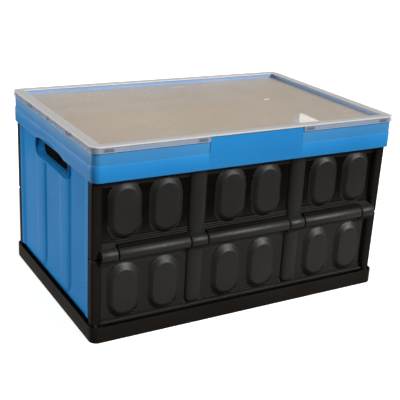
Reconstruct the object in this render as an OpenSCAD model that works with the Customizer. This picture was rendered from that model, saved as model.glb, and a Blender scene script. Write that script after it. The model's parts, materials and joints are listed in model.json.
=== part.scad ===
// Collapsible storage crate with folding long walls, swing-up end walls and a lift-off lid.
// Millimetres. X runs along the crate, the front faces -Y and +Z is up.
// The origin is the middle of the underside. The crate is drawn standing open.

/* [Overall] */
// Length over the lid
crate_length = 600; // [560:1:640]
// Depth over the lid
crate_depth = 400; // [370:1:440]
// Height to the top of the lid
crate_height = 340; // [336:1:344]
// Radius of the upright corners
corner_radius = 14; // [10:1:18]

/* [Base] */
// Height of the skirt around the base
skirt_height = 28.5; // [27:0.5:29.5]
// Thickness of the floor
floor_thickness = 2.5; // [2:0.5:3]
// Thickness of the base and frame skirts
skirt_wall = 2.5; // [2:0.1:2.5]

/* [Folding walls] */
// Height of the base hinges
base_hinge_z = 20; // [19.5:0.5:21]
// Distance from one hinge of a folding wall to the next
hinge_spacing = 133; // [132:0.5:134]
// How far the hinge line lies inside the skirt's outer face
hinge_inset = 10; // [9:0.5:11]
// Depth of a folding panel
panel_depth = 13.6; // [12:0.2:14]
// Depth of a corner pillar
pillar_depth = 16.1; // [15:0.1:16.1]
// Thickness of the moulded walls
wall = 2.5; // [2:0.5:3]
// How far the bosses stand up from the panel
boss_rise = 8; // [6:0.5:8.5]
// Outer radius of the middle hinge barrel
barrel_radius = 11; // [9:0.5:11]

/* [Frame and end walls] */
// Height of the frame's lower edge
frame_bottom = 281; // [280:0.5:282]
// Height of the line between the frame's two bands
band_line = 308; // [304:1:312]
// Width of the frame's top ledge
ledge_width = 16; // [15:0.5:17]
// Height of the end wall hinges
end_hinge_z = 310; // [309:0.5:311]
// Thickness of an end wall
end_thickness = 12; // [10:0.5:12]

/* [Hidden] */
$fn = 64;

blue = [0.16, 0.52, 0.80];
black = [0.14, 0.13, 0.12];
clear = [0.80, 0.80, 0.80, 0.5];
steel = [0.70, 0.71, 0.73];

gap = 0.4;
lid_wall = 1.7;
lid_sheet = 2.2;
lid_gap = 0.3;
lid_skirt = 10.5;
lid_recess = 8;
notch_width = 6;
notch_depth = 3;
grip_half = 93;

skirt_length = crate_length - 2 * (lid_wall + lid_gap);
skirt_depth = crate_depth - 2 * (lid_wall + lid_gap);
frame_top = crate_height - lid_sheet - lid_gap;
band_step = 1;
ledge_thickness = 3;
lip_thickness = 2;
long_lip_bottom = 306;
short_lip_bottom = 320;

hinge_y = skirt_depth / 2 - hinge_inset;
mid_hinge_z = base_hinge_z + hinge_spacing;
top_hinge_z = base_hinge_z + 2 * hinge_spacing;
panel_face = hinge_y - gap;
pillar_outer = skirt_length / 2 - skirt_wall - 0.9;
pillar_inner = pillar_outer - 17;
pillar_split = 6;
panel_end_gap = 6;
barrel_clear = 0.6;
flange = 4;
rib_near = 85;
rib_far = 118;
knuckle_gap = 0.2;
knuckles = [85, 118, 251, 282];
boss_centres = [37, 161, 235];
boss_radius = 30;
boss_top_radius = 21.5;
boss_height = 102;
boss_middle = 61.5;

pin_radius = 3;
pin_clearance = 0.05;
lug_radius = 5.5;
panel_lug_near = 284;
panel_lug_far = 290;
fixed_lug_near = 273;
fixed_lug_far = 283.6;

end_face = pillar_outer - 0.1;
end_hinge_x = end_face - end_thickness / 2;
end_half = 170.5;
end_bottom = 24;
end_plate_inset = 3.5;
end_border = 9;
rib_centre = 60;
end_rib_radius = 26;
end_rib_bottom = 37;
end_rib_top = 236;
end_lug_gap = 0.6;
end_lug_width = 9;
hole_half = 82;
hole_bottom = 248;
hole_top = 282;
hole_radius = 14;
collar_wall = 3;
collar_depth = 6;
arch_half = 70;
arch_rise = 9;

// A plate with rounded upright corners, centred on Z
module rounded_slab(length, depth, height, radius) {
  for (x = [-1, 1], y = [-1, 1])
    translate([x * (length / 2 - radius), y * (depth / 2 - radius), 0])
      cylinder(h = height, r = radius);
  translate([-length / 2, -depth / 2 + radius, 0])
    cube([length, depth - 2 * radius, height]);
  translate([-length / 2 + radius, -depth / 2, 0])
    cube([length - 2 * radius, depth, height]);
}

// A closed wall that follows a rounded rectangle
module rounded_ring(length, depth, height, wall, radius) {
  difference() {
    rounded_slab(length, depth, height, radius);
    translate([0, 0, -1])
      rounded_slab(length - 2 * wall, depth - 2 * wall, height + 2, max(radius - wall, 1));
  }
}

// A box from its low corner to its high corner
module block(low, high) {
  translate(low)
    cube(high - low);
}

// A cylinder along X
module rod_x(x0, x1, y, z, radius) {
  translate([x0, y, z])
    rotate([0, 90, 0])
      cylinder(h = x1 - x0, r = radius);
}

// A cylinder along Y
module rod_y(y0, y1, x, z, radius) {
  translate([x, y0, z])
    rotate([-90, 0, 0])
      cylinder(h = y1 - y0, r = radius);
}

module both_ends() {
  children();
  mirror([1, 0, 0])
    children();
}

module both_sides() {
  children();
  mirror([0, 1, 0])
    children();
}

// A pad with round ends and sloping sides that grows towards -Y, from a wide foot to a narrow top
module boss(x, z_low, z_high, y_foot, y_top, r_foot, r_top) {
  for (z = [z_low + r_foot, z_high - r_foot])
    translate([x, y_foot, z])
      rotate([90, 0, 0])
        cylinder(h = y_foot - y_top, r1 = r_foot, r2 = r_top);
  translate([x, 0, z_low + r_foot])
    linear_extrude(z_high - z_low - 2 * r_foot)
      polygon([[-r_foot, y_foot], [r_foot, y_foot], [r_top, y_top], [-r_top, y_top]]);
}

// Lengths of barrel along X: [start, end] for each knuckle on one panel
function short_knuckles() = [
  [-knuckles[3], -knuckles[2]], [-knuckles[1], -knuckles[0]],
  [knuckles[0], knuckles[1]], [knuckles[2], knuckles[3]]
];
function long_knuckles() = [
  [-knuckles[2], -knuckles[1]], [-knuckles[0], knuckles[0]], [knuckles[1], knuckles[2]]
];

// One half of a folding wall on the front, hinged at z = 0 below and at hinge_spacing above.
// Its corner pillars end at pillar_end.
module folding_panel(barrels, bore, pillar_end) {
  face = -panel_face;
  back = face + panel_depth;
  field_front = face + boss_rise;
  field_back = field_front + wall;
  top = hinge_spacing - barrel_radius - barrel_clear;
  boss_low = boss_middle - boss_height / 2;
  boss_high = boss_middle + boss_height / 2;
  difference() {
    union() {
      block([-pillar_inner, field_front, panel_end_gap], [pillar_inner, field_back, top]);
      block([-pillar_inner, face, panel_end_gap], [pillar_inner, back, panel_end_gap + flange]);
      block([-pillar_inner, face, top - flange], [pillar_inner, back, top]);
      both_ends() {
        block([rib_near, face, panel_end_gap], [rib_far, back, top]);
        block([pillar_inner, face, panel_end_gap],
              [pillar_outer, face + pillar_depth, pillar_end]);
        block([panel_lug_near, face, 0], [panel_lug_far, face + 9, panel_end_gap]);
        rod_x(panel_lug_near, panel_lug_far, -hinge_y, 0, lug_radius);
        for (x = boss_centres)
          boss(x, boss_low, boss_high, field_front, face, boss_radius, boss_top_radius);
      }
    }
    both_ends() {
      for (x = boss_centres)
        boss(x, boss_low + wall, boss_high - wall, field_back + 0.01, face + wall,
             boss_radius - wall, boss_top_radius - wall);
      block([rib_near + wall, face + wall, panel_end_gap + flange],
            [rib_far - wall, back + 1, top - flange]);
      block([pillar_inner + wall, face + wall, panel_end_gap + flange],
            [pillar_outer - wall, face + pillar_depth + 1, top - flange]);
      rod_x(panel_lug_near - 1, panel_lug_far + 1, -hinge_y, 0, pin_radius + pin_clearance);
    }
    rod_x(-knuckles[3] - gap, knuckles[3] + gap, -hinge_y, hinge_spacing,
          barrel_radius + barrel_clear);
  }
  for (b = barrels)
    difference() {
      union() {
        rod_x(b[0] + knuckle_gap, b[1] - knuckle_gap, -hinge_y, hinge_spacing, barrel_radius);
        block([b[0] + knuckle_gap, -hinge_y, top - 1],
              [b[1] - knuckle_gap, back, hinge_spacing]);
      }
      rod_x(b[0] - 1, b[1] + 1, -hinge_y, hinge_spacing, bore);
    }
}

module lower_panel() {
  color(black)
    translate([0, 0, base_hinge_z])
      folding_panel(long_knuckles(), pin_radius, hinge_spacing - pillar_split - 2 * knuckle_gap);
}

module upper_panel() {
  color(black)
    translate([0, 0, top_hinge_z])
      mirror([0, 0, 1])
        folding_panel(short_knuckles(), pin_radius + pin_clearance, hinge_spacing + pillar_split);
}

module front_lower_panel() lower_panel();
module front_upper_panel() upper_panel();
module rear_lower_panel() mirror([0, 1, 0]) lower_panel();
module rear_upper_panel() mirror([0, 1, 0]) upper_panel();

// Lug that holds a folding wall's pin, on a leg from z_root to the pin
module fixed_lug(z_axis, z_root) {
  y_in = -hinge_y + 5;
  difference() {
    union() {
      rod_x(fixed_lug_near, fixed_lug_far, -hinge_y, z_axis, lug_radius - 0.5);
      block([fixed_lug_near, -skirt_depth / 2 + skirt_wall - 0.5, min(z_axis, z_root)],
            [fixed_lug_far, y_in, max(z_axis, z_root)]);
    }
    rod_x(fixed_lug_near - 1, fixed_lug_far + 1, -hinge_y, z_axis, pin_radius);
  }
}

module base_tray() {
  color(black) {
    rounded_slab(skirt_length, skirt_depth, floor_thickness, corner_radius);
    rounded_ring(skirt_length, skirt_depth, skirt_height, skirt_wall, corner_radius);
    both_sides()
      both_ends()
        fixed_lug(base_hinge_z, floor_thickness - 1);
  }
}

// Frame around the top: two bands outside, a ledge for the lid and an inner lip
module top_frame() {
  band_height = frame_top - band_line;
  opening_length = skirt_length - 2 * ledge_width;
  opening_depth = skirt_depth - 2 * ledge_width;
  color(blue) {
    difference() {
      union() {
        translate([0, 0, frame_bottom])
          rounded_ring(skirt_length, skirt_depth, band_line - frame_bottom, skirt_wall,
                       corner_radius);
        translate([0, 0, band_line - 1])
          rounded_ring(skirt_length - 2 * band_step, skirt_depth - 2 * band_step,
                       band_height + 1, skirt_wall - band_step + 0.5, corner_radius - band_step);
        translate([0, 0, frame_top - ledge_thickness])
          rounded_ring(skirt_length - 2 * band_step, skirt_depth - 2 * band_step,
                       ledge_thickness, ledge_width - band_step, corner_radius - band_step);
        both_sides()
          block([-grip_half, -skirt_depth / 2, band_line - 1],
                [grip_half, -skirt_depth / 2 + skirt_wall, frame_top]);
      }
      both_ends()
        hand_arch();
    }
    both_sides()
      block([-opening_length / 2 - lip_thickness, -opening_depth / 2 - lip_thickness, long_lip_bottom],
            [opening_length / 2 + lip_thickness, -opening_depth / 2, frame_top - 1]);
    both_ends()
      block([-opening_length / 2 - lip_thickness, -opening_depth / 2 - 1, short_lip_bottom],
            [-opening_length / 2, opening_depth / 2 + 1, frame_top - 1]);
    both_sides()
      both_ends() {
        fixed_lug(top_hinge_z, frame_top - 1);
        end_lug();
      }
  }
}

// Arched cut in the frame's skirt above a hand hole
module hand_arch() {
  chord = arch_half;
  radius = (chord * chord + arch_rise * arch_rise) / (2 * arch_rise);
  rod_x(skirt_length / 2 - skirt_wall - 2, skirt_length / 2 + 1, 0,
        frame_bottom + arch_rise - radius, radius);
}

// Lug that holds an end wall's pin in the frame
module end_lug() {
  y_near = end_half + end_lug_gap;
  difference() {
    block([end_hinge_x - 6, -y_near - end_lug_width, end_hinge_z - 5.5],
          [skirt_length / 2 - skirt_wall + 0.5, -y_near, frame_top - 1]);
    rod_y(-y_near - end_lug_width - 1, -y_near + 1, end_hinge_x, end_hinge_z, pin_radius);
  }
}

// Outline of the hand hole, drawn in Y and Z
module hand_hole(grow, x0, x1) {
  r = hole_radius + grow;
  for (y = [-1, 1], z = [hole_bottom + hole_radius, hole_top - hole_radius])
    rod_x(x0, x1, y * (hole_half - hole_radius), z, r);
  block([x0, -hole_half + hole_radius, hole_bottom - grow],
        [x1, hole_half - hole_radius, hole_top + grow]);
  block([x0, -hole_half - grow, hole_bottom + hole_radius],
        [x1, hole_half + grow, hole_top - hole_radius]);
}

// End wall on the +X end: a thin plate with a border, upright ribs and a hand hole
module end_wall() {
  inner = end_face - end_thickness;
  plate_face = end_face - end_plate_inset;
  color(blue) {
    difference() {
      union() {
        block([plate_face - wall, -end_half, end_bottom],
              [plate_face, end_half, end_hinge_z]);
        both_sides()
          block([inner, -end_half, end_bottom],
                [end_face, -end_half + end_border, end_hinge_z - 6]);
        block([inner, -end_half, end_bottom], [plate_face, end_half, end_bottom + 4]);
        for (y = [-rib_centre, rib_centre]) {
          block([plate_face - 1, y - end_rib_radius, end_rib_bottom + end_rib_radius],
                [end_face, y + end_rib_radius, end_rib_top]);
          rod_x(plate_face - 1, end_face, y, end_rib_bottom + end_rib_radius, end_rib_radius);
        }
        rod_y(-end_half, end_half, end_hinge_x, end_hinge_z, lug_radius);
        hand_hole(collar_wall, inner - collar_depth, end_face);
      }
      hand_hole(0, inner - collar_depth - 1, end_face + 1);
      both_sides()
        rod_y(-end_half - 1, -end_half + 14, end_hinge_x, end_hinge_z,
              pin_radius + pin_clearance);
    }
  }
}

module end_wall_right() end_wall();
module end_wall_left() mirror([1, 0, 0]) end_wall();

// Clear lid: a flange over the frame, a short skirt outside it and a sunken middle
module lid() {
  opening_length = skirt_length - 2 * ledge_width - 1;
  opening_depth = skirt_depth - 2 * ledge_width - 1;
  radius = corner_radius + lid_wall;
  color(clear)
    difference() {
      union() {
        translate([0, 0, crate_height - lid_sheet])
          rounded_ring(crate_length, crate_depth, lid_sheet, ledge_width + 3, radius);
        translate([0, 0, crate_height - lid_skirt])
          rounded_ring(crate_length, crate_depth, lid_skirt, lid_wall, radius);
        translate([0, 0, crate_height - lid_recess - lid_sheet])
          rounded_ring(opening_length, opening_depth, lid_recess + lid_sheet, 2, 6);
        translate([0, 0, crate_height - lid_recess - lid_sheet])
          rounded_slab(opening_length, opening_depth, lid_sheet, 6);
      }
      both_sides()
        block([-grip_half, -crate_depth / 2 - 1, crate_height - lid_skirt - 1],
              [grip_half, -crate_depth / 2 + lid_wall, crate_height - lid_sheet]);
      both_ends()
        block([crate_length / 2 - notch_depth, -notch_width / 2, crate_height - lid_sheet - 0.1],
              [crate_length / 2 + 1, notch_width / 2, crate_height + 1]);
    }
}

// Steel rod through a middle hinge
module hinge_rod() {
  color(steel)
    rod_x(-knuckles[3] + 1, knuckles[3] - 1, -hinge_y, mid_hinge_z, pin_radius);
}

module front_hinge_rod() hinge_rod();
module rear_hinge_rod() mirror([0, 1, 0]) hinge_rod();

// Short pin between a fixed lug and a panel's lug, on the +X end of the front
module wall_pin(z) {
  color(steel)
    rod_x(fixed_lug_near + 1, panel_lug_far - 1, -hinge_y, z, pin_radius);
}

module base_pin_front_right() wall_pin(base_hinge_z);
module base_pin_front_left() mirror([1, 0, 0]) wall_pin(base_hinge_z);
module base_pin_rear_right() mirror([0, 1, 0]) wall_pin(base_hinge_z);
module base_pin_rear_left() rotate([0, 0, 180]) wall_pin(base_hinge_z);
module top_pin_front_right() wall_pin(top_hinge_z);
module top_pin_front_left() mirror([1, 0, 0]) wall_pin(top_hinge_z);
module top_pin_rear_right() mirror([0, 1, 0]) wall_pin(top_hinge_z);
module top_pin_rear_left() rotate([0, 0, 180]) wall_pin(top_hinge_z);

// Short pin of an end wall, at the front of the +X end
module end_pin() {
  color(steel)
    rod_y(-end_half - end_lug_gap - end_lug_width + 1, -end_half + 12,
          end_hinge_x, end_hinge_z, pin_radius);
}

module end_pin_right_front() end_pin();
module end_pin_right_rear() mirror([0, 1, 0]) end_pin();
module end_pin_left_front() mirror([1, 0, 0]) end_pin();
module end_pin_left_rear() rotate([0, 0, 180]) end_pin();

base_tray();
top_frame();
lid();
end_wall_left();
end_wall_right();
front_lower_panel();
front_upper_panel();
rear_lower_panel();
rear_upper_panel();
front_hinge_rod();
rear_hinge_rod();
base_pin_front_left();
base_pin_front_right();
base_pin_rear_left();
base_pin_rear_right();
top_pin_front_left();
top_pin_front_right();
top_pin_rear_left();
top_pin_rear_right();
end_pin_left_front();
end_pin_left_rear();
end_pin_right_front();
end_pin_right_rear();
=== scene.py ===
"""Folding storage crate: black base and long walls, blue top frame and end walls, milky lid.

Shapes are written in millimetres; materials, stage, camera and lights are in metres. X runs
along the crate, the front faces -Y, +Z is up and the origin is the middle of the underside.
"""
import json
import math

import bmesh
import bpy
import numpy as np
from mathutils import Matrix, Vector

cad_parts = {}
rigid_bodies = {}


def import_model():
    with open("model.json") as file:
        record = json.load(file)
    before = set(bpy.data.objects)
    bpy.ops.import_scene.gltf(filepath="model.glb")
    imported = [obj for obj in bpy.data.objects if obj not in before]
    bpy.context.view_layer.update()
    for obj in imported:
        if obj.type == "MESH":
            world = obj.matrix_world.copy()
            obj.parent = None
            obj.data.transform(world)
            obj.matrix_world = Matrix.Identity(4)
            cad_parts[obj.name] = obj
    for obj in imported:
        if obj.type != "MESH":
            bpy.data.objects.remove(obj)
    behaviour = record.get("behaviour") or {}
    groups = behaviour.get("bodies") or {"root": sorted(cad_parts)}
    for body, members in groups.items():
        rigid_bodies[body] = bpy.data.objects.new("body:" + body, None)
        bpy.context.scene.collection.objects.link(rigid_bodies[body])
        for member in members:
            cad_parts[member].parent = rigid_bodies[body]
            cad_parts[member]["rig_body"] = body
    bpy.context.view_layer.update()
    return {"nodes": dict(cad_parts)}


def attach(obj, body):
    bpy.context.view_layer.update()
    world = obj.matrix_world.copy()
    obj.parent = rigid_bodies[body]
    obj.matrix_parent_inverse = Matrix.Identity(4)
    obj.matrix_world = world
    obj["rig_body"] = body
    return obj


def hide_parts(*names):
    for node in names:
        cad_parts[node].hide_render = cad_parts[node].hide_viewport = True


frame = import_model()
NODES = frame["nodes"]
MM = 0.001

# Main sizes, the same as in the CAD model
BASE_X, BASE_Y, CORNER = 298.0, 198.0, 14.0
TRAY_TOP = 28.5
FRAME_LOW, FRAME_HIGH, BAND = 281.0, 337.5, 308.0
GRIP_HALF = 93.0
LID_X, LID_Y, LID_TOP, LID_CORNER = 300.0, 200.0, 340.0, 15.7
HINGE_Y, HINGE_LOW, HINGE_MID, HINGE_HIGH = 188.0, 20.0, 153.0, 286.0
PANEL_FACE, PANEL_DEPTH, PILLAR_DEPTH = 187.6, 13.6, 16.1
PILLAR_IN, PILLAR_OUT, PILLAR_SPLIT = 277.6, 294.6, 6.0
BARREL, BORE = 11.0, 3.05
BOSSES = (37.0, 161.0, 235.0)
END_FACE, END_HALF, END_LOW, END_AXIS_Z = 294.5, 170.5, 24.0, 310.0


# ---------------------------------------------------------------- mesh helpers
class Mesh:
    """Collects closed shells in millimetres and turns them into one object."""

    def __init__(self):
        self.verts, self.faces, self.mats = [], [], []
        self.count = 0

    def add(self, verts, faces, mat=0, flip=False):
        """Adds a shell; mat is one index or one per face."""
        verts = np.asarray(verts, float).reshape(-1, 3)
        mats = [mat] * len(faces) if isinstance(mat, int) else list(mat)
        for face, m in zip(faces, mats):
            face = [i + self.count for i in face]
            self.faces.append(face[::-1] if flip else face)
            self.mats.append(m)
        self.verts.append(verts)
        self.count += len(verts)

    def place(self, turn):
        """Maps every shell's vertices through turn(verts)."""
        self.verts = [turn(v) for v in self.verts]

    def flip(self):
        """Turns every face over."""
        self.faces = [f[::-1] for f in self.faces]

    def build(self, name, node, materials, sharp):
        """Makes the object, rides it on the node's body and shades it smooth up to an angle."""
        mesh = bpy.data.meshes.new(name)
        co = np.concatenate(self.verts) * MM
        mesh.from_pydata(co.tolist(), [], self.faces)
        mesh.update()
        bm = bmesh.new()
        bm.from_mesh(mesh)
        for f in bm.faces:
            f.smooth = len(f.verts) < 9
        crisp_edges(bm, sharp)
        bm.to_mesh(mesh)
        bm.free()
        for m in materials:
            mesh.materials.append(m)
        mesh.polygons.foreach_set("material_index", self.mats)
        obj = bpy.data.objects.new(name, mesh)
        bpy.context.scene.collection.objects.link(obj)
        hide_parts(node)
        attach(obj, NODES[node]["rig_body"])
        return obj


def crisp_edges(bm, sharp):
    """Marks the edges that turn by more than sharp degrees."""
    limit = math.radians(sharp)
    for e in bm.edges:
        e.smooth = len(e.link_faces) == 2 and e.calc_face_angle(0.0) < limit


def rounded_box(low, high, radius, steps=3):
    """Verts and faces of a box with rounded edges."""
    bm = bmesh.new()
    bmesh.ops.create_cube(bm, size=1.0)
    size = Vector(high) - Vector(low)
    middle = (Vector(high) + Vector(low)) / 2
    for v in bm.verts:
        v.co = Vector((v.co.x * size.x, v.co.y * size.y, v.co.z * size.z)) + middle
    radius = min(radius, min(size) * 0.49)
    bmesh.ops.bevel(bm, geom=bm.edges[:], offset=radius, segments=steps, profile=0.5,
                    affect="EDGES")
    verts = [v.co[:] for v in bm.verts]
    faces = [[v.index for v in f.verts] for f in bm.faces]
    bm.free()
    return verts, faces


def revolve(profile, centre, axis, steps=40, closed=True):
    """Turns (along, radius) points about a line through centre along axis 0 (X) or 1 (Y)."""
    verts, faces = [], []
    n = len(profile)
    for k in range(steps):
        a = 2 * math.pi * k / steps
        for along, r in profile:
            p = [0.0, 0.0, centre[2] + r * math.sin(a)]
            p[axis] = centre[axis] + along
            p[1 - axis] = centre[1 - axis] + r * math.cos(a)
            verts.append(p)
    spans = n if closed else n - 1
    for k in range(steps):
        a, b = k * n, (k + 1) % steps * n
        for i in range(spans):
            j = (i + 1) % n
            faces.append([a + i, b + i, b + j, a + j])
    if axis == 1:
        faces = [f[::-1] for f in faces]
    return verts, faces


def knuckle(x0, x1, z):
    """A knuckle of the middle hinge: rounded rims and a recess at both ends."""
    rim, deep, hollow = 1.2, 12.0, 8.6
    soft = 0.35 * rim
    profile = [
        (x0 + deep, BORE), (x0 + deep, hollow), (x0 + 0.4, hollow), (x0, hollow + 0.4),
        (x0, BARREL - rim), (x0 + soft, BARREL - soft), (x0 + rim, BARREL),
        (x1 - rim, BARREL), (x1 - soft, BARREL - soft), (x1, BARREL - rim),
        (x1, hollow + 0.4), (x1 - 0.4, hollow), (x1 - deep, hollow), (x1 - deep, BORE),
    ]
    return revolve(profile, (0, -HINGE_Y, z), 0, 48)


def pin_boss(low, high, bore, radius, bevel, centre, axis=0):
    """A short bored cylinder round a hinge pin, with bevelled rims."""
    profile = [(low, bore), (low, radius - bevel), (low + bevel, radius),
               (high - bevel, radius), (high, radius - bevel), (high, bore)]
    return revolve(profile, centre, axis, 32)


def prism_sides(outline, x0, x1):
    """Verts and side faces of a prism along X, from an outline in Y and Z."""
    n = len(outline)
    verts = [(x, y, z) for x in (x0, x1) for y, z in outline]
    return verts, [[i, (i + 1) % n, n + (i + 1) % n, n + i] for i in range(n)]


def prism(outline, x0, x1):
    """A closed prism along X."""
    n = len(outline)
    verts, faces = prism_sides(outline, x0, x1)
    return verts, faces + [list(range(n))[::-1], list(range(n, 2 * n))]


def lattice(nu, nv, base=0):
    """Quads of a grid with nu by nv points."""
    return [
        [base + i * nv + j, base + (i + 1) * nv + j, base + (i + 1) * nv + j + 1,
         base + i * nv + j + 1]
        for i in range(nu - 1) for j in range(nv - 1)
    ]


def slab_faces(nu, nv):
    """Faces of a closed solid between two grids of nu by nv points, the second one behind."""
    n = nu * nv
    faces = lattice(nu, nv)
    faces += [f[::-1] for f in lattice(nu, nv, n)]
    for i in range(nu - 1):
        a, b = i * nv, (i + 1) * nv
        faces.append([a, n + a, n + b, b])
        faces.append([a + nv - 1, b + nv - 1, n + b + nv - 1, n + a + nv - 1])
    for j in range(nv - 1):
        faces.append([j, j + 1, n + j + 1, n + j])
        a = (nu - 1) * nv + j
        faces.append([a, n + a, n + a + 1, a + 1])
    return faces


def lines(low, high, step, extra=()):
    """Grid positions from low to high, with extra ones for edges that have to be crisp."""
    least = 0.3 * step
    count = max(2, int(round((high - low) / step)) + 1)
    values = list(np.linspace(low, high, count)) + [e for e in extra if low < e < high]
    values = np.unique(np.round(values, 3))
    keep = [values[0]]
    fixed = set(np.round(list(extra), 3))
    for v in values[1:]:
        if v - keep[-1] < least and v not in fixed:
            continue
        if v - keep[-1] < least and keep[-1] not in fixed and len(keep) > 1:
            keep.pop()
        keep.append(v)
    if keep[-1] != values[-1]:
        keep.append(values[-1])
    return np.array(keep)


def ramp(t, soft=0.3):
    """0 to 1 with a straight middle and rounded ends."""
    t = np.clip(t, 0, 1)
    m = 1 / (1 - soft)
    low = m * t * t / (2 * soft)
    high = 1 - m * (1 - t) ** 2 / (2 * soft)
    return np.where(t < soft, low, np.where(t > 1 - soft, high, m * (t - soft / 2)))


# ---------------------------------------------------------------- ring sweeps
TIGHTEST = 3.0


def stations(half_x, half_y, margin, step, extra_x=(), extra_y=(), corner_steps=10):
    """Places round a rounded rectangle, counter-clockwise from the front left."""
    xs = lines(-(half_x - margin), half_x - margin, step, extra_x)
    ys = lines(-(half_y - margin), half_y - margin, step, extra_y)
    turn = np.linspace(0, math.pi / 2, corner_steps + 1)
    out = [("front", x, None) for x in xs]
    out += [("corner", (1, -1), t - math.pi / 2) for t in turn]
    out += [("right", y, None) for y in ys]
    out += [("corner", (1, 1), t) for t in turn]
    out += [("rear", x, None) for x in xs[::-1]]
    out += [("corner", (-1, 1), t + math.pi / 2) for t in turn]
    out += [("left", y, None) for y in ys[::-1]]
    out += [("corner", (-1, -1), t + math.pi) for t in turn]
    return out


def ring_point(half_x, half_y, radius, place, inset):
    """The point at one station, inset from the outline."""
    kind, where, angle = place
    if kind == "front":
        return where, -(half_y - inset)
    if kind == "rear":
        return where, half_y - inset
    if kind == "right":
        return half_x - inset, where
    if kind == "left":
        return -(half_x - inset), where
    r = max(radius - inset, TIGHTEST)
    cx, cy = half_x - inset - r, half_y - inset - r
    return where[0] * cx + r * math.cos(angle), where[1] * cy + r * math.sin(angle)


def sweep(half_x, half_y, radius, places, profile, closed=True, mat=None):
    """A shell from profile(place) -> (inset, z) points; an open profile's ends get flat caps."""
    verts, faces, mats = [], [], []
    rows = [profile(p) for p in places]
    n, count = len(rows[0]), len(places)
    for place, row in zip(places, rows):
        for inset, z in row:
            verts.append((*ring_point(half_x, half_y, radius, place, inset), z))
    spans = n if closed else n - 1
    for k in range(count):
        a, b = k * n, (k + 1) % count * n
        for i in range(spans):
            j = (i + 1) % n
            faces.append([a + i, a + j, b + j, b + i])
            mats.append(mat(places[k], i) if mat else 0)
    if not closed:
        # each cap is a fan round a middle point of its own
        middle = len(verts)
        verts += [(0, 0, rows[0][0][1]), (0, 0, rows[0][-1][1])]
        for k in range(count):
            a, b = k * n, (k + 1) % count * n
            faces += [[a, b, middle], [b + n - 1, a + n - 1, middle + 1]]
            mats += [mat(None, 0) if mat else 0] * 2
    return verts, faces, mats


# ---------------------------------------------------------------- materials
class Nodes:
    """A short way to write a node tree."""

    def __init__(self, name):
        self.material = bpy.data.materials.new(name)
        self.material.use_nodes = True
        self.tree = self.material.node_tree
        self.shader = next(n for n in self.tree.nodes if n.type == "BSDF_PRINCIPLED")
        self.coords = self.new("ShaderNodeTexCoord").outputs["Object"]

    def new(self, kind, **values):
        node = self.tree.nodes.new(kind)
        for key, value in values.items():
            setattr(node, key, value)
        return node

    def link(self, a, b):
        self.tree.links.new(a, b)

    def set(self, **values):
        for key, value in values.items():
            self.shader.inputs[key.replace("_", " ")].default_value = value

    def noise(self, scale, detail=4.0, rough=0.55, stretch=None, distortion=0.0):
        n = self.new("ShaderNodeTexNoise")
        n.inputs["Scale"].default_value = scale
        n.inputs["Detail"].default_value = detail
        n.inputs["Roughness"].default_value = rough
        n.inputs["Distortion"].default_value = distortion
        vector = self.coords
        if stretch:
            m = self.new("ShaderNodeMapping")
            m.inputs["Scale"].default_value = stretch
            self.link(vector, m.inputs["Vector"])
            vector = m.outputs["Vector"]
        self.link(vector, n.inputs["Vector"])
        return n.outputs["Fac"]

    def curve(self, value, low, high, out_low, out_high):
        n = self.new("ShaderNodeMapRange")
        for key, v in zip(("From Min", "From Max", "To Min", "To Max"),
                          (low, high, out_low, out_high)):
            n.inputs[key].default_value = v
        self.link(value, n.inputs["Value"])
        return n.outputs["Result"]

    def mix(self, factor, a, b):
        n = self.new("ShaderNodeMix", data_type="RGBA")
        self.link(factor, n.inputs["Factor"])
        for name, value in (("A", a), ("B", b)):
            socket = next(s for s in n.inputs if s.name == name and s.type == "RGBA")
            if isinstance(value, tuple):
                socket.default_value = (*value, 1.0)
            else:
                self.link(value, socket)
        return next(s for s in n.outputs if s.type == "RGBA")

    def math(self, operation, a, b):
        n = self.new("ShaderNodeMath", operation=operation)
        for i, value in enumerate((a, b)):
            if isinstance(value, (int, float)):
                n.inputs[i].default_value = value
            else:
                self.link(value, n.inputs[i])
        return n.outputs[0]

    def bump(self, height, distance, strength=1.0, normal=None):
        n = self.new("ShaderNodeBump")
        n.inputs["Strength"].default_value = strength
        n.inputs["Distance"].default_value = distance
        self.link(height, n.inputs["Height"])
        if normal is not None:
            self.link(normal, n.inputs["Normal"])
        return n.outputs["Normal"]

    def edges(self):
        """1 on worn convex edges."""
        g = self.new("ShaderNodeNewGeometry")
        return self.curve(g.outputs["Pointiness"], 0.56, 0.68, 0.0, 1.0)


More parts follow.
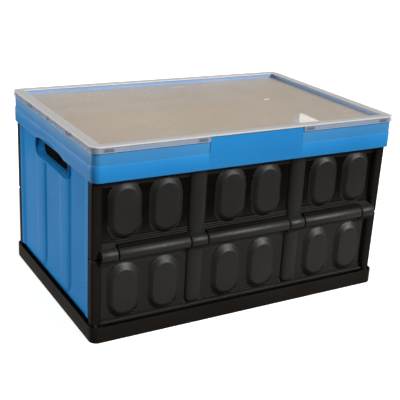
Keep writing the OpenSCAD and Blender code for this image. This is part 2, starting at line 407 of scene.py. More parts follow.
def moulded(name, dark, light, rough, grain, depth, level, edge=None, warm=None):
    """Injection-moulded plastic: a tone that drifts from dark to light, warm smudges, scuffed
    edges, a roughness range and a surface grain with its scale and depth."""
    m = Nodes(name)
    drift = m.noise(6.0, 3.0)
    colour = m.mix(m.curve(drift, 0.35, 0.65, 0.0, 1.0), dark, light)
    fine = m.noise(420.0, 2.0, 0.6)
    colour = m.mix(m.curve(fine, 0.3, 0.75, 0.0, 0.22), colour, light)
    if warm:
        smudge = m.noise(14.0, 5.0, 0.6)
        colour = m.mix(m.curve(smudge, 0.52, 0.8, 0.0, 0.35), colour, warm)
    if edge:
        wear = m.math("MULTIPLY", m.edges(), m.curve(m.noise(60.0, 4.0), 0.35, 0.7, 0.1, 0.8))
        colour = m.mix(wear, colour, edge)
    m.link(colour, m.shader.inputs["Base Color"])
    smear = m.noise(9.0, 6.0, 0.65, stretch=(1.0, 1.0, 2.4))
    speck = m.noise(150.0, 2.0, 0.5)
    shine = m.math("ADD", m.curve(smear, 0.3, 0.75, rough[0], rough[1]),
                   m.curve(speck, 0.35, 0.7, -0.02, 0.03))
    m.link(shine, m.shader.inputs["Roughness"])
    skin = m.bump(m.noise(grain, 3.0, 0.6), depth)
    flow = m.bump(m.noise(18.0, 2.0, 0.4), 0.0006, 0.25, skin)
    m.link(flow, m.shader.inputs["Normal"])
    m.set(IOR=1.49, Specular_IOR_Level=level)
    return m.material


def milky(name, colour, alpha, rough, cloud):
    """Translucent plastic: a milky body whose alpha varies by cloud, and hairline scratches."""
    m = Nodes(name)
    drift = m.noise(5.0, 4.0, 0.6)
    tone = m.mix(m.curve(drift, 0.35, 0.65, 0.0, 1.0), tuple(c * 0.96 for c in colour), colour)
    hair = m.noise(60.0, 8.0, 0.75, stretch=(0.15, 2.2, 1.0), distortion=0.4)
    scratch = m.curve(hair, 0.66, 0.74, 0.0, 0.10)
    tone = m.mix(scratch, tone, (0.93, 0.93, 0.93))
    m.link(tone, m.shader.inputs["Base Color"])
    body = m.math("ADD", m.curve(drift, 0.3, 0.7, alpha - cloud, alpha + cloud), scratch)
    m.link(m.math("MINIMUM", body, 1.0), m.shader.inputs["Alpha"])
    m.link(m.curve(m.noise(12.0, 5.0), 0.3, 0.7, rough - 0.02, rough + 0.05),
           m.shader.inputs["Roughness"])
    m.link(m.bump(m.noise(14.0, 2.0, 0.4), 0.0012, 0.2,
                  m.bump(m.noise(380.0, 2.0, 0.5), 0.00006)), m.shader.inputs["Normal"])
    m.set(IOR=1.49)
    return m.material


def metal(name):
    """Drawn steel rod: lengthwise streaks and a little dulling."""
    m = Nodes(name)
    streak = m.noise(260.0, 5.0, 0.6, stretch=(0.05, 1.0, 1.0))
    colour = m.mix(m.curve(streak, 0.3, 0.7, 0.0, 1.0), (0.50, 0.50, 0.51), (0.70, 0.70, 0.72))
    colour = m.mix(m.curve(m.noise(40.0, 4.0), 0.6, 0.8, 0.0, 0.5), colour, (0.28, 0.24, 0.21))
    m.link(colour, m.shader.inputs["Base Color"])
    m.link(m.curve(streak, 0.3, 0.7, 0.25, 0.42), m.shader.inputs["Roughness"])
    m.link(m.bump(streak, 0.00008), m.shader.inputs["Normal"])
    m.set(Metallic=1.0)
    return m.material


BLACK_MATT = moulded("black_spark", (0.0115, 0.0111, 0.0107), (0.017, 0.0164, 0.0157),
                     rough=(0.40, 0.50), grain=1300.0, depth=0.00022, level=0.36,
                     edge=(0.036, 0.034, 0.031), warm=(0.023, 0.0195, 0.0165))
BLACK_GLOSS = moulded("black_polished", (0.0010, 0.0010, 0.0010), (0.0022, 0.0020, 0.0018),
                      rough=(0.14, 0.24), grain=500.0, depth=0.00002, level=0.5,
                      edge=(0.012, 0.0115, 0.011), warm=(0.010, 0.0080, 0.0060))
BLACK_BASE = moulded("black_base", (0.0090, 0.0075, 0.0063), (0.0135, 0.0112, 0.0093),
                     rough=(0.42, 0.54), grain=1100.0, depth=0.00014, level=0.06,
                     edge=(0.040, 0.033, 0.027), warm=(0.022, 0.016, 0.0115))
BLUE = moulded("blue_satin", (0.018, 0.265, 0.670), (0.026, 0.300, 0.730),
               rough=(0.32, 0.44), grain=900.0, depth=0.00010, level=0.3,
               edge=(0.10, 0.42, 0.84))
BLUE_BAND = moulded("blue_band", (0.045, 0.260, 0.570), (0.058, 0.295, 0.630),
                    rough=(0.36, 0.48), grain=900.0, depth=0.00012, level=0.3,
                    edge=(0.18, 0.46, 0.80))
BLUE_END = moulded("blue_end", (0.011, 0.245, 0.640), (0.018, 0.285, 0.710),
                   rough=(0.26, 0.38), grain=800.0, depth=0.00008, level=0.07)
LID_PANE = milky("milky_pane", (0.86, 0.735, 0.595), alpha=0.52, rough=0.24, cloud=0.03)
LID_RIM = milky("milky_rim", (0.66, 0.64, 0.63), alpha=0.86, rough=0.30, cloud=0.03)
LID_SKIRT = milky("milky_skirt", (0.66, 0.70, 0.76), alpha=0.34, rough=0.26, cloud=0.05)
# the lid's rounded edges get a lighter and more opaque milky colour: the lighter colour is a
# painted highlight along them
LID_EDGE_HIGHLIGHT = milky("milky_edge_highlight", (0.80, 0.77, 0.73), alpha=0.93, rough=0.30, cloud=0.02)
LID_SNAP = milky("milky_snap", (0.20, 0.25, 0.32), alpha=0.72, rough=0.34, cloud=0.03)
STEEL = metal("drawn_steel")


# ---------------------------------------------------------------- folding long walls
# Each half is made in one frame: its fixed hinge at z = 0 and the middle hinge at z = PIVOT.
PIVOT = HINGE_MID - HINGE_LOW
BODY_LOW, BODY_HIGH = 6.0, PIVOT - BARREL - 0.6
FIELD = 8.0
WALL = 2.5
BOSS_MIDDLE, BOSS_STRAIGHT, BOSS_TOP = 61.5, 17.0, 21.5
FLANK_SIDE, FLANK_END = 8.5, 12.5
RIB_MIDDLE, RIB_HALF = 101.5, 16.5
RIB_IN, RIB_OUT = RIB_MIDDLE - RIB_HALF, RIB_MIDDLE + RIB_HALF
BORDER, BORDER_SIDE = 4.0, PILLAR_IN - 2.6
SHOULDER = PILLAR_IN - 1.6
LEDGE_Z, LEDGE_RISE = 9.6, 2.2
FOOT_RIDGES = (11.7, 18.9)
HINGE_RIDGES = (108.3, 120.3)
HINGE_BAND = 106.0
POLISH_LOW = 19.5
PANEL_LUG = (284.0, 290.0)
LONG_KNUCKLES = ((118.0, 251.0), (-85.0, 85.0))
SHORT_KNUCKLES = ((85.0, 118.0), (251.0, 282.0))
MATT, POLISHED, DARK = 0, 1, 2


def inside_knuckles(x, ranges):
    """Whether each x lies in one of the ranges."""
    hit = np.zeros_like(x, bool)
    for low, high in ranges:
        hit |= (x > low) & (x < high)
    return hit


def both_ways(ranges):
    """The ranges of X and their mirror images, with a middle range once."""
    return sorted({r for low, high in ranges for r in ((low, high), (-high, -low))})


def boss_depth(x, z, middle):
    """Depth of a raised stadium with a slightly crowned top and sloping flanks."""
    past = np.maximum(np.abs(z - BOSS_MIDDLE) - BOSS_STRAIGHT, 0)
    reach = np.hypot(x - middle, past)
    flank = FLANK_SIDE + (FLANK_END - FLANK_SIDE) * (past / np.maximum(reach, 0.1)) ** 2
    crown = 0.25 * np.clip(reach / BOSS_TOP, 0, 1) ** 2
    return crown + (FIELD - crown) * ramp((reach - BOSS_TOP) / flank, 0.1)


def ridges(z, span, height, pitch, first):
    """Height of fine ridges along X, the first with its crest at z = first."""
    wave = height * (1 + np.cos(2 * math.pi * (z - first) / pitch))
    return wave * ((z > span[0]) & (z < span[1]))


def panel_front(x, z, upper):
    """Depth of the outer surface behind the panel's face."""
    depth = np.full_like(x, FIELD)
    for middle in BOSSES:
        for side in (-1, 1):
            depth = np.minimum(depth, boss_depth(x, z, side * middle))
    # upright ribs with a round back, and a round lower end on the lower panels
    end = 0.0 if upper else 12.0 + RIB_HALF
    across = np.abs(np.abs(x) - RIB_MIDDLE) / RIB_HALF
    down = np.maximum(end - z, 0) / RIB_HALF
    rib = np.clip(np.maximum(across, np.hypot(across ** 1.6, down ** 1.6)), 0, 1)
    depth = np.minimum(depth, FIELD * (1 - (1 - rib ** 2.6) ** 0.62))
    # step out along the edge at the fixed hinge, with two fine ridges on the lower panels
    depth = np.minimum(depth, 3.0 + 5.0 * ramp((z - LEDGE_Z) / LEDGE_RISE, 0.4))
    if upper:
        # by the middle hinge the surface comes out a little at the panel's own knuckles, with
        # three fine ridges between them
        own = inside_knuckles(np.abs(x), SHORT_KNUCKLES)
        slope = FIELD - 2.6 * ramp((z - 115.0) / 6.0, 0.3)
        ridged = FIELD - ridges(z, HINGE_RIDGES, 0.6, 4.0, 110.3)
        depth = np.minimum(depth, np.where(own, slope, ridged))
    else:
        between = np.abs(np.abs(x) - RIB_MIDDLE) > RIB_HALF - 2
        depth = depth - between * ridges(z, FOOT_RIDGES, 0.5, 3.6, 13.5)
    # shoulder up to the corner pillars
    shoulder = FIELD - 7.6 * ramp((np.abs(x) - SHOULDER) / 2.0, 0.4)
    return np.clip(np.minimum(depth, shoulder), 0.0, FIELD)


def panel_back(x, z, front):
    """Depth of the inner surface: hollow behind everything, solid round the border."""
    border = (z < BODY_LOW + BORDER) | (z > BODY_HIGH - BORDER) | (np.abs(x) > BORDER_SIDE)
    side = np.abs(np.abs(np.abs(x) - RIB_MIDDLE) - (RIB_HALF - 1.2)) < 1.25
    return np.where(border | side, PANEL_DEPTH, front + WALL)


def panel_grid(upper):
    """X and Z of the panel's grid points, with rows along every crisp edge."""
    edge_x = [s * e for s in (-1, 1) for e in
              (RIB_IN - 0.1, RIB_IN, RIB_IN + 2.4, RIB_OUT - 2.4, RIB_OUT, RIB_OUT + 0.1,
               BORDER_SIDE - 0.1, BORDER_SIDE + 0.1, SHOULDER, SHOULDER + 1.0, PILLAR_IN)]
    edge_z = [LEDGE_Z, BODY_LOW + BORDER - 0.05, BODY_LOW + BORDER + 0.05,
              LEDGE_Z + LEDGE_RISE / 2, LEDGE_Z + LEDGE_RISE, HINGE_BAND,
              BODY_HIGH - BORDER - 0.05, BODY_HIGH - BORDER + 0.05]
    (low, high), fine = (HINGE_RIDGES, 0.5) if upper else (FOOT_RIDGES, 0.45)
    edge_z += list(np.arange(low, high + 0.1, fine))
    xs = lines(-PILLAR_IN - 0.6, PILLAR_IN + 0.6, 1.7, edge_x)
    zs = lines(BODY_LOW, BODY_HIGH, 1.7, edge_z)
    return np.meshgrid(xs, zs, indexing="ij")


def panel_materials(x, z, front, upper):
    """Material of each front face: the flat field at full depth is polished, and the band of
    fine ridges is dark."""
    depth = (front[:-1, :-1] + front[1:, 1:]) / 2
    x = np.abs(x[:-1, :-1] + x[1:, 1:]) / 2
    z = (z[:-1, :-1] + z[1:, 1:]) / 2
    off_rib = np.abs(x - RIB_MIDDLE) > RIB_HALF
    polished = (depth > FIELD - 0.12) & off_rib & (z > POLISH_LOW) & (z < HINGE_RIDGES[0])
    low, high = (HINGE_BAND, BODY_HIGH) if upper else FOOT_RIDGES
    dark = (z > low) & (z < high) & off_rib
    return [int(m) for m in np.where(polished, POLISHED, np.where(dark, DARK, MATT)).reshape(-1)]


def panel_slab(upper):
    """The hollow moulding between the pillars: verts, faces and materials."""
    x, z = panel_grid(upper)
    front = panel_front(x, z, upper)
    back = panel_back(x, z, front)
    verts = np.concatenate([np.stack([x, -PANEL_FACE + depth, z], -1).reshape(-1, 3)
                            for depth in (front, back)])
    faces = slab_faces(*x.shape)
    mats = panel_materials(x, z, front, upper)
    return verts, faces, mats + [MATT] * (len(faces) - len(mats))


def curved_lip(x0, x1):
    """A thin lip on a panel that wraps round the other panel's knuckle."""
    angles = np.radians(np.linspace(-14, 62, 12))
    outline = [(-HINGE_Y + r * math.sin(a), PIVOT - r * math.cos(a))
               for r, turn in ((BARREL + 0.8, angles), (BARREL + 4.4, angles[::-1])) for a in turn]
    n = len(outline)
    verts, faces = prism_sides(outline, x0, x1)
    for i in range(n // 2 - 1):
        strip = [i, i + 1, n - 2 - i, n - 1 - i]
        faces += [strip[::-1], [n + k for k in strip]]
    return verts, faces


def web(x0, x1, upper):
    """The web that joins a knuckle to its panel."""
    start = FIELD - 2.4 if upper else FIELD + 0.2
    outline = [(-PANEL_FACE + start, BODY_HIGH - 3.2), (-PANEL_FACE - 4.4, PIVOT - 8.3),
               (-HINGE_Y - 7.0, PIVOT - 8.0), (-HINGE_Y - 4.0, PIVOT - 2.0),
               (-HINGE_Y + 6.0, PIVOT + 5.0),
               (-PANEL_FACE + PANEL_DEPTH, PIVOT), (-PANEL_FACE + PANEL_DEPTH, BODY_HIGH - 2)]
    return prism(outline, x0, x1)


def folding_panel(name, node, upper, rear):
    """One half of a long wall: hollow moulding, pillars, hinge knuckles and lugs."""
    shape = Mesh()
    shape.add(*panel_slab(upper))
    pillar_end = PIVOT + PILLAR_SPLIT if upper else PIVOT - PILLAR_SPLIT - 0.4
    for s in (-1, 1):
        x0, x1 = sorted((s * PILLAR_IN, s * PILLAR_OUT))
        shape.add(*rounded_box((x0, -PANEL_FACE, BODY_LOW),
                               (x1, -PANEL_FACE + PILLAR_DEPTH, pillar_end), 3.6, 5), mat=DARK)
        x0, x1 = sorted(s * x for x in PANEL_LUG)
        shape.add(*rounded_box((x0, -PANEL_FACE, 0.0), (x1, -PANEL_FACE + 9, 9.0), 1.0))
        shape.add(*pin_boss(x0, x1, BORE, 5.5, 0.5, (0, -HINGE_Y, 0)))
    if upper:
        # a strip under the frame, over the heads of the bosses
        shape.add(*rounded_box((-270.0, -PANEL_FACE, 1.2), (270.0, -PANEL_FACE + 2.4, 8.0), 0.5, 2),
                  mat=DARK)
    own, others = LONG_KNUCKLES, SHORT_KNUCKLES
    if upper:
        own, others = others, own
    for x0, x1 in both_ways(others):
        shape.add(*curved_lip(x0 + 0.3, x1 - 0.3), mat=DARK)
    for x0, x1 in both_ways(own):
        shape.add(*knuckle(x0 + 1.0, x1 - 1.0, PIVOT))
        shape.add(*web(x0 + 0.3, x1 - 0.3, upper))
    base = HINGE_HIGH if upper else HINGE_LOW
    shape.place(lambda v: v * [1, -1 if rear else 1, -1 if upper else 1] + [0, 0, base])
    if upper != rear:
        shape.flip()
    shape.build(name, node, [BLACK_MATT, BLACK_GLOSS, BLACK_BASE], 30.0)


for wall_side in ("front", "rear"):
    for half in ("lower", "upper"):
        folding_panel(f"{wall_side}_{half}_wall", f"{wall_side}_{half}_panel",
                      half == "upper", wall_side == "rear")


# ---------------------------------------------------------------- end walls
PLATE = 3.5
END_DEEP = 12.0
HOLE_LOW, HOLE_HIGH, HOLE_HALF, HOLE_ROUND = 248.0, 282.0, 82.0, 14.0
FLUTES = ((-121.0, 268.0), (0.0, 238.0), (121.0, 268.0))
FOOT_TOP = 36.0
SIDE_BORDER = 145.0


def stadium(y, z, middle, low, high, half):
    """Distance from the spine of an upright stadium over its half width."""
    below = np.maximum(low + half - z, 0)
    above = np.maximum(z - (high - half), 0)
    return np.hypot(y - middle, np.maximum(below, above)) / half


def end_front(y, z):
    """Depth of an end wall's outer surface behind its face."""
    depth = np.full_like(y, PLATE)
    for middle, top in FLUTES:
        away = np.clip(stadium(y, z, middle, 50.0, top, 22.5), 0, 1)
        depth = np.maximum(depth, PLATE + 4.6 * (1 - away ** 2.2) ** 0.75)
    # two raised columns between the flutes
    for middle in (-60.0, 60.0):
        away = np.clip(stadium(y, z, middle, FOOT_TOP, 275.0, 26.5), 0, 1)
        depth = np.minimum(depth, PLATE * (1 - (1 - away ** 3.0) ** 0.6))
    border = PLATE * ramp((END_HALF - 2.0 - np.abs(y)) / 22.0, 0.45)
    depth = np.where(np.abs(y) > SIDE_BORDER, np.minimum(depth, border), depth)
    foot = PLATE + 5.0 * ramp((FOOT_TOP - z) / 12.0, 0.15)
    return np.where(z < FOOT_TOP, np.maximum(depth, foot), depth)


def hole_outline(grow=0.0):
    """Outline of the hand hole in Y and Z, counter-clockwise seen from +X."""
    points, steps = [], 10
    for sy, sz, start in ((1, 1, 0), (-1, 1, 90), (-1, -1, 180), (1, -1, 270)):
        cy = sy * (HOLE_HALF - HOLE_ROUND)
        cz = (HOLE_HIGH - HOLE_ROUND) if sz > 0 else (HOLE_LOW + HOLE_ROUND)
        for k in range(steps + 1):
            a = math.radians(start + 90 * k / steps)
            points.append((cy + (HOLE_ROUND + grow) * math.cos(a),
                           cz + (HOLE_ROUND + grow) * math.sin(a)))
    return points


def collar(x_out, x_in):
    """The rolled wall round the hand hole, as rings of (x, growth of the outline)."""
    rings = [(x_out, 0.6), (x_out + 0.1, 1.2), (x_out, 2.2), (x_out - 1.0, 3.0),
             (x_in + 1.0, 3.0), (x_in, 2.4), (x_in, 0.6), (x_in + 0.6, 0.0), (x_out - 0.6, 0.0)]
    verts, faces = [], []
    for x, grow in rings:
        verts += [(x, y, z) for y, z in hole_outline(grow)]
    n = len(verts) // len(rings)
    for k in range(len(rings)):
        a, b = k * n, (k + 1) % len(rings) * n
        for i in range(n):
            j = (i + 1) % n
            faces.append([a + i, b + i, b + j, a + j])
    return verts, faces


def end_wall(name, node, left):
    """An end wall: fluted and ribbed plate with a collared hand hole, hinged at the top."""
    shape = Mesh()
    ys = lines(-END_HALF, END_HALF, 1.8,
               [s * v for s in (-1, 1) for v in (SIDE_BORDER, END_HALF - 9.0, END_HALF - 2.0)])
    zs = lines(END_LOW, END_AXIS_Z - 3.0, 1.8, [END_LOW + 4.0, 33.0, FOOT_TOP])
    y, z = np.meshgrid(ys, zs, indexing="ij")
    front = end_front(y, z)
    border = (np.abs(y) > END_HALF - 9.0) | (z < END_LOW + 4.0)
    back = np.minimum(np.where(border, END_DEEP, front + WALL), END_DEEP)
    verts = np.concatenate([np.stack([END_FACE - depth, y, z], -1).reshape(-1, 3)
                            for depth in (front, back)])
    shape.add(verts, slab_faces(len(ys), len(zs)))
    plate = shape.build(name, node, [BLUE_END], 30.0)
    cutter = Mesh()
    cutter.add(*prism(hole_outline(), 260.0, 310.0))
    apply_boolean(plate, raw_object("cutter_" + name, cutter))
    extra = Mesh()
    extra.add(*collar(END_FACE - 0.4, END_FACE - 18.0))
    extra.add(*pin_boss(-END_HALF, END_HALF, BORE, 5.5, 0.5, (END_FACE - 6.0, 0, END_AXIS_Z), 1))
    join_into(plate, extra)
    if left:
        mirror_x(plate)


def raw_object(name, shape):
    """A plain object that isn't a piece of the crate."""
    mesh = bpy.data.meshes.new(name)
    mesh.from_pydata((np.concatenate(shape.verts) * MM).tolist(), [], shape.faces)
    obj = bpy.data.objects.new(name, mesh)
    bpy.context.scene.collection.objects.link(obj)
    return obj


def apply_boolean(obj, cutter):
    """Cuts cutter out of obj for good and removes it."""
    for o in (obj, cutter):
        bm = bmesh.new()
        bm.from_mesh(o.data)
        bmesh.ops.recalc_face_normals(bm, faces=bm.faces)
        bm.to_mesh(o.data)
        bm.free()
    mod = obj.modifiers.new("cut", "BOOLEAN")
    mod.object, mod.operation, mod.solver = cutter, "DIFFERENCE", "EXACT"
    graph = bpy.context.evaluated_depsgraph_get()
    mesh = bpy.data.meshes.new_from_object(obj.evaluated_get(graph))
    obj.modifiers.clear()
    obj.data = mesh
    bpy.data.objects.remove(cutter)


def join_into(obj, shape):
    """Adds more shells to an object's mesh."""
    bm = bmesh.new()
    bm.from_mesh(obj.data)
    made = [bm.verts.new(Vector(v) * MM) for v in np.concatenate(shape.verts).tolist()]
    for f in shape.faces:
        bm.faces.new([made[i] for i in f])
    for f in bm.faces:
        f.smooth = True
    crisp_edges(bm, 30.0)
    bm.to_mesh(obj.data)
    bm.free()


def mirror_x(obj):
    """Mirrors an object's mesh from the right end to the left."""
    obj.data.transform(Matrix.Diagonal((-1, 1, 1, 1)))
    obj.data.flip_normals()


end_wall("end_shell_right", "end_wall_right", False)
end_wall("end_shell_left", "end_wall_left", True)


# ---------------------------------------------------------------- base
LUG_X, LUG_Y, LUG_BORE = (273.0, 283.6), (-196.0, -183.0), 3.0
WEB_PLACES = (0.0, 68.0, 136.0, 228.0, 262.0)


def base_profile(_):
    """The tray's skirt, with a rounded rim, and the outer edge of its floor."""
    rim = TRAY_TOP
    return [(1.6, 0.0), (0.5, 0.4), (0.0, 1.5), (0.0, rim - 0.9), (0.25, rim - 0.25), (0.8, rim),
            (1.7, rim), (2.25, rim - 0.25), (2.5, rim - 0.9), (2.5, 4.5), (3.0, 3.0), (4.5, 2.5),
            (6.0, 2.5), (6.0, 0.0)]


def floor_profile(_):
    """The edge of the floor plate."""
    return [(5.0, 2.45), (5.0, 0.0)]


def lug(z0, z1, axis_z):
    """A rounded block and a bored boss for a hinge pin along X, at the front right."""
    return [rounded_box((LUG_X[0], LUG_Y[0], z0), (LUG_X[1], LUG_Y[1], z1), 0.8),
            pin_boss(*LUG_X, LUG_BORE, 5.0, 0.4, (0, -HINGE_Y, axis_z))]


def four_corners(shape, shells):
    """Adds the shells at the front right and their mirror images at the other corners."""
    for sx in (1, -1):
        for sy in (1, -1):
            for verts, faces in shells:
                verts = np.asarray(verts, float) * [sx, sy, 1]
                shape.add(verts, faces, flip=sx != sy)


def build_base():
    shape = Mesh()
    places = stations(BASE_X, BASE_Y, 20.0, 12.0, corner_steps=12)
    verts, faces, _ = sweep(BASE_X, BASE_Y, CORNER, places, base_profile)
    shape.add(verts, faces)
    verts, faces, _ = sweep(BASE_X, BASE_Y, CORNER, places, floor_profile, closed=False)
    shape.add(verts, faces)
    # shallow stiffening ribs on the floor's upper face
    for x in np.linspace(-240, 240, 9):
        shape.add(*rounded_box((x - 0.9, -170, 2.0), (x + 0.9, 170, 3.6), 0.5, 2))
    for y in np.linspace(-150, 150, 5):
        shape.add(*rounded_box((-272, y - 0.9, 2.0), (272, y + 0.9, 3.6), 0.5, 2))
    four_corners(shape, lug(2.0, HINGE_LOW, HINGE_LOW))
    # small webs in the trench between the skirt and each long wall
    for s in (-1, 1):
        for x in sorted({t * x for t in (-1, 1) for x in WEB_PLACES}):
            y0, y1 = sorted((s * 195.8, s * 189.5))
            shape.add(*rounded_box((x - 0.8, y0, 2.0), (x + 0.8, y1, 22.0), 0.3, 2))
    shape.build("base_shell", "base_tray", [BLACK_BASE], 32.0)


build_base()


# ---------------------------------------------------------------- top frame
STEP_ROUND = 4.0
ARCH_HALF, ARCH_RISE = 70.0, 9.0
ARCH_RADIUS = (ARCH_HALF ** 2 + ARCH_RISE ** 2) / (2 * ARCH_RISE)
LEDGE_LOW = 335.0
BAND_ROWS = (6, 7)


def band_step_height(place):
    """Height of the step between the bands; it climbs round the flush grip pads."""
    kind, where, _ = place
    if kind not in ("front", "rear"):
        return BAND
    off = abs(where) - GRIP_HALF
    if off <= 0:
        return FRAME_HIGH - 0.9
    if off >= STEP_ROUND:
        return BAND
    return BAND + STEP_ROUND - math.sqrt(STEP_ROUND ** 2 - (STEP_ROUND - off) ** 2)


def lower_edge(place):
    """Height of the frame's lower edge, arched over each hand hole."""
    kind, where, _ = place
    if kind not in ("left", "right") or abs(where) >= ARCH_HALF:
        return FRAME_LOW
    return (FRAME_LOW + ARCH_RISE - ARCH_RADIUS
            + math.sqrt(ARCH_RADIUS ** 2 - where ** 2))


def on_grip(place):
    """Whether a station lies on one of the flush grip pads."""
    return place[0] in ("front", "rear") and abs(place[1]) <= GRIP_HALF


def frame_profile(place):
    """From the skirt's lower edge up its outside, over the rim and down the inner lip."""
    low, step = lower_edge(place), band_step_height(place)
    lip_low = 306.0 if place[0] in ("front", "rear") else 320.0
    flush = on_grip(place)
    top = 0.0 if flush else 1.0
    return [(2.5, low), (0.9, low), (0.25, low + 0.25), (0.0, low + 0.9),
            (0.0, step - 0.5), (0.15 if not flush else 0.0, step - 0.1),
            (0.5 if not flush else 0.0, step + 0.05), (top, step + 0.3),
            (top, FRAME_HIGH - 0.7), (top + 0.3, FRAME_HIGH - 0.2), (top + 0.9, FRAME_HIGH),
            (15.4, FRAME_HIGH), (15.85, FRAME_HIGH - 0.2), (16.0, FRAME_HIGH - 0.7),
            (16.0, lip_low + 0.5), (15.6, lip_low), (14.4, lip_low), (14.0, lip_low + 0.5),
            (14.0, 334.6), (3.2, 334.6), (3.0, 334.2), (3.0, BAND + 1.0), (2.5, BAND - 0.5)]


def frame_material(place, i):
    """The recessed upper band has a duller finish than the rest."""
    return 1 if i in BAND_ROWS and not on_grip(place) else 0


def build_frame():
    shape = Mesh()
    edge = [s * (GRIP_HALF + d) for s in (-1, 1)
            for d in (-0.02, 0.02, 0.3, 0.9, 1.8, 2.8, STEP_ROUND)]
    arch = [s * v for s in (-1, 1) for v in (ARCH_HALF, ARCH_HALF - 4)]
    places = stations(BASE_X, BASE_Y, 22.0, 6.0, edge, arch, 14)
    verts, faces, mats = sweep(BASE_X, BASE_Y, CORNER, places, frame_profile,
                               mat=frame_material)
    shape.add(verts, faces, mats)
    # lugs for the long walls' pins, and blocks for the end walls' pins
    shells = lug(HINGE_HIGH, LEDGE_LOW, HINGE_HIGH)
    shells.append(rounded_box((282.5, -180.1, 304.5), (296.0, -171.1, LEDGE_LOW), 0.8))
    four_corners(shape, shells)
    # ribs under the ledge, behind the skirt
    for s in (-1, 1):
        for x in np.linspace(-240, 240, 13):
            y0, y1 = sorted((s * 195.8, s * 183.5))
            shape.add(*rounded_box((x - 0.8, y0, 316.0), (x + 0.8, y1, LEDGE_LOW), 0.3, 2))
    shape.build("frame_shell", "top_frame", [BLUE, BLUE_BAND], 32.0)


build_frame()


# ---------------------------------------------------------------- lid
SKIRT_LOW = 329.5
SHEET = 2.2
RECESS = 332.0
NOTCH_HALF, NOTCH_DEEP = 3.0, 3.0
SKIRT_ROUND = 2.5
SNAP_HALF, SNAP_LOW, SNAP_HIGH = 8.0, 331.2, 336.6
PANE, RIM, SKIRT, EDGE, SNAP = 0, 1, 2, 3, 4
PANE_ROWS = (0, 1, 19)
RIM_ROWS = (6, 16)
# profile rows of the rounded edges, which carry the painted highlight
HIGHLIGHT_ROWS = (4, 5, 7, 8, 9, 11, 12, 13)


def skirt_bottom(place):
    """Height of the lid skirt's lower edge: it stops beside each grip pad."""
    kind, where, _ = place
    flange = LID_TOP - SHEET - 0.25
    if kind not in ("front", "rear"):
        return SKIRT_LOW
    off = abs(where) - GRIP_HALF - 0.6
    if off <= 0:
        return flange
    if off >= SKIRT_ROUND:
        return SKIRT_LOW
    return SKIRT_LOW + SKIRT_ROUND - math.sqrt(SKIRT_ROUND ** 2 - (SKIRT_ROUND - off) ** 2)


def lid_profile(place):
    """From the pane's upper face over the flange and skirt to the pane's lower face."""
    low = skirt_bottom(place)
    notched = place[0] in ("left", "right") and abs(place[1]) < NOTCH_HALF
    o = NOTCH_DEEP if notched else 0.0
    inner = LID_TOP - SHEET
    return [(24.0, RECESS), (20.6, RECESS), (19.9, RECESS + 0.3), (19.4, RECESS + 1.0),
            (19.0, LID_TOP - 0.9), (18.7, LID_TOP - 0.3), (18.0, LID_TOP),
            (1.6 + o, LID_TOP), (0.6 + o, LID_TOP - 0.25), (0.15 + o, LID_TOP - 0.7),
            (0.0 + o, LID_TOP - 1.6), (0.0 + o, min(low + 0.9, inner)), (0.3 + o, low + 0.1),
            (0.8 + o, low), (1.4 + o, low + 0.1), (1.7 + o, min(low + 0.9, inner)),
            (1.75 + o, inner), (16.4, inner), (17.0, RECESS - 0.5),
            (18.0, RECESS - SHEET), (24.0, RECESS - SHEET)]


def lid_material(place, i):
    """Pane, flange, skirt, or the rounded edges with their painted highlight."""
    if place is None or i in PANE_ROWS:
        return PANE
    if i in HIGHLIGHT_ROWS:
        return EDGE
    return RIM if i in RIM_ROWS else SKIRT


def build_lid():
    shape = Mesh()
    edge = [s * (GRIP_HALF + 0.6 + d) for s in (-1, 1) for d in (-0.02, 0.02, 0.3, 0.9, 1.7, 2.5)]
    notch = [s * v for s in (-1, 1) for v in (NOTCH_HALF - 0.02, NOTCH_HALF + 0.02)]
    places = stations(LID_X, LID_Y, 27.0, 8.0, edge, notch, 12)
    verts, faces, mats = sweep(LID_X, LID_Y, LID_CORNER, places, lid_profile, closed=False,
                               mat=lid_material)
    shape.add(verts, faces, mats)
    # snap lugs moulded inside the skirt, seen through it as darker blocks
    for s in (-1, 1):
        y0, y1 = sorted((s * (LID_Y + 0.06), s * (LID_Y - 1.4)))
        for x in (-272.0, -107.0, 107.0, 272.0):
            shape.add(*rounded_box((x - SNAP_HALF, y0, SNAP_LOW), (x + SNAP_HALF, y1, SNAP_HIGH),
                                   0.4, 2), mat=SNAP)
    for s in (-1, 1):
        x0, x1 = sorted((s * (LID_X + 0.06), s * (LID_X - 1.4)))
        for y in (-95.0, 95.0):
            shape.add(*rounded_box((x0, y - SNAP_HALF, SNAP_LOW), (x1, y + SNAP_HALF, SNAP_HIGH),
                                   0.4, 2), mat=SNAP)
    shape.build("lid_shell", "lid",
                [LID_PANE, LID_RIM, LID_SKIRT, LID_EDGE_HIGHLIGHT, LID_SNAP], 32.0)


build_lid()


# ---------------------------------------------------------------- carried-over steel pieces
for node_name, node_object in NODES.items():
    if "rod" in node_name or "pin" in node_name:
        node_object.data.materials.clear()
        node_object.data.materials.append(STEEL)
        bevel = node_object.modifiers.new("soft_edge", "BEVEL")
        bevel.width, bevel.segments, bevel.limit_method = 0.0004, 2, "ANGLE"


# ---------------------------------------------------------------- stage, camera, light
def add_stage():
    """A pale floor far wider than the crate."""
    bpy.ops.mesh.primitive_plane_add(size=300.0)
    floor = bpy.context.object
    floor.name = "floor"
    m = Nodes("pale_floor")
    tone = m.mix(m.curve(m.noise(0.8, 2.0), 0.3, 0.7, 0.0, 1.0), (0.90, 0.90, 0.90),
                 (0.93, 0.93, 0.93))
    m.link(tone, m.shader.inputs["Base Color"])
    m.set(Roughness=0.9, Specular_IOR_Level=0.0, Emission_Color=(1, 1, 1, 1),
          Emission_Strength=0.7)
    floor.data.materials.append(m.material)
    floor.visible_diffuse = floor.visible_glossy = False


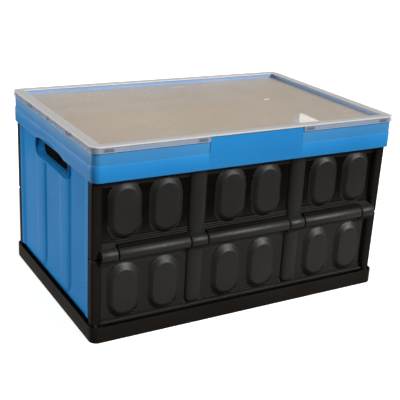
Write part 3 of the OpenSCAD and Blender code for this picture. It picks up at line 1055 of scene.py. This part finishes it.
def add_card():
    """A warm white sheet under the crate that only reflections see."""
    bpy.ops.mesh.primitive_plane_add(size=1.0, location=(0, 0.15, -0.0005))
    card = bpy.context.object
    card.name = "card"
    card.scale = (1.5, 1.4, 1.0)
    m = Nodes("white_sheet")
    tone = m.mix(m.curve(m.noise(1.5, 2.0), 0.3, 0.7, 0.0, 1.0), (0.90, 0.77, 0.64),
                 (0.94, 0.82, 0.70))
    m.link(tone, m.shader.inputs["Base Color"])
    m.set(Roughness=0.9, Emission_Color=(1.0, 0.85, 0.70, 1), Emission_Strength=0.25)
    card.data.materials.append(m.material)
    card.visible_camera = card.visible_diffuse = card.visible_shadow = False


def add_light(name, place, target, size, power):
    """A square lamp that faces a target."""
    data = bpy.data.lights.new(name, "AREA")
    data.shape, data.size, data.energy = "SQUARE", size, power
    obj = bpy.data.objects.new(name, data)
    obj.location = place
    obj.rotation_euler = (Vector(target) - Vector(place)).to_track_quat("-Z", "Y").to_euler()
    bpy.context.scene.collection.objects.link(obj)


def add_sun(toward, strength, angle):
    """The key light, which comes from a direction and is angle degrees wide."""
    data = bpy.data.lights.new("key", "SUN")
    data.energy, data.angle = strength, math.radians(angle)
    obj = bpy.data.objects.new("key", data)
    obj.rotation_euler = Vector(toward).to_track_quat("Z", "Y").to_euler()
    bpy.context.scene.collection.objects.link(obj)


def add_camera():
    """The camera at the front left, a little above the crate."""
    data = bpy.data.cameras.new("camera")
    data.sensor_width, data.lens = 36.0, 73.8
    data.clip_start, data.clip_end = 0.05, 60.0
    cam = bpy.data.objects.new("camera", data)
    right = Vector((0.8706, -0.4892, 0.0533)).normalized()
    back = -Vector((0.4746, 0.8061, -0.3534)).normalized()
    up = back.cross(right).normalized()
    right = up.cross(back)
    turn = Matrix((right, up, back)).transposed().to_4x4()
    cam.matrix_world = Matrix.Translation((-0.752, -1.2931, 0.7101)) @ turn
    bpy.context.scene.collection.objects.link(cam)
    bpy.context.scene.camera = cam


def add_world(above, below, strength):
    """Soft light from above and a dim warm lower half."""
    world = bpy.data.worlds.new("studio")
    world.use_nodes = True
    tree = world.node_tree
    coords = tree.nodes.new("ShaderNodeTexCoord")
    split = tree.nodes.new("ShaderNodeSeparateXYZ")
    blend = tree.nodes.new("ShaderNodeMapRange")
    mix = tree.nodes.new("ShaderNodeMix")
    mix.data_type = "RGBA"
    for name, value in (("From Min", -0.25), ("From Max", 0.35)):
        blend.inputs[name].default_value = value
    colours = [i for i in mix.inputs if i.type == "RGBA"]
    colours[0].default_value, colours[1].default_value = (*below, 1), (*above, 1)
    tree.links.new(coords.outputs["Generated"], split.inputs[0])
    tree.links.new(split.outputs["Z"], blend.inputs["Value"])
    tree.links.new(blend.outputs["Result"], mix.inputs["Factor"])
    tree.links.new([o for o in mix.outputs if o.type == "RGBA"][0],
                   tree.nodes["Background"].inputs["Color"])
    tree.nodes["Background"].inputs["Strength"].default_value = strength
    bpy.context.scene.world = world


add_stage()
add_camera()
add_card()
add_sun((0.46, -0.72, 0.54), 2.9, 14.0)
add_light("left", (-2.3, 2.0, 0.5), (-0.3, 0, 0.12), 0.8, 50.0)
add_world((0.9, 0.9, 0.9), (0.10, 0.085, 0.07), 0.42)
bpy.context.scene.view_settings.view_transform = "Standard"
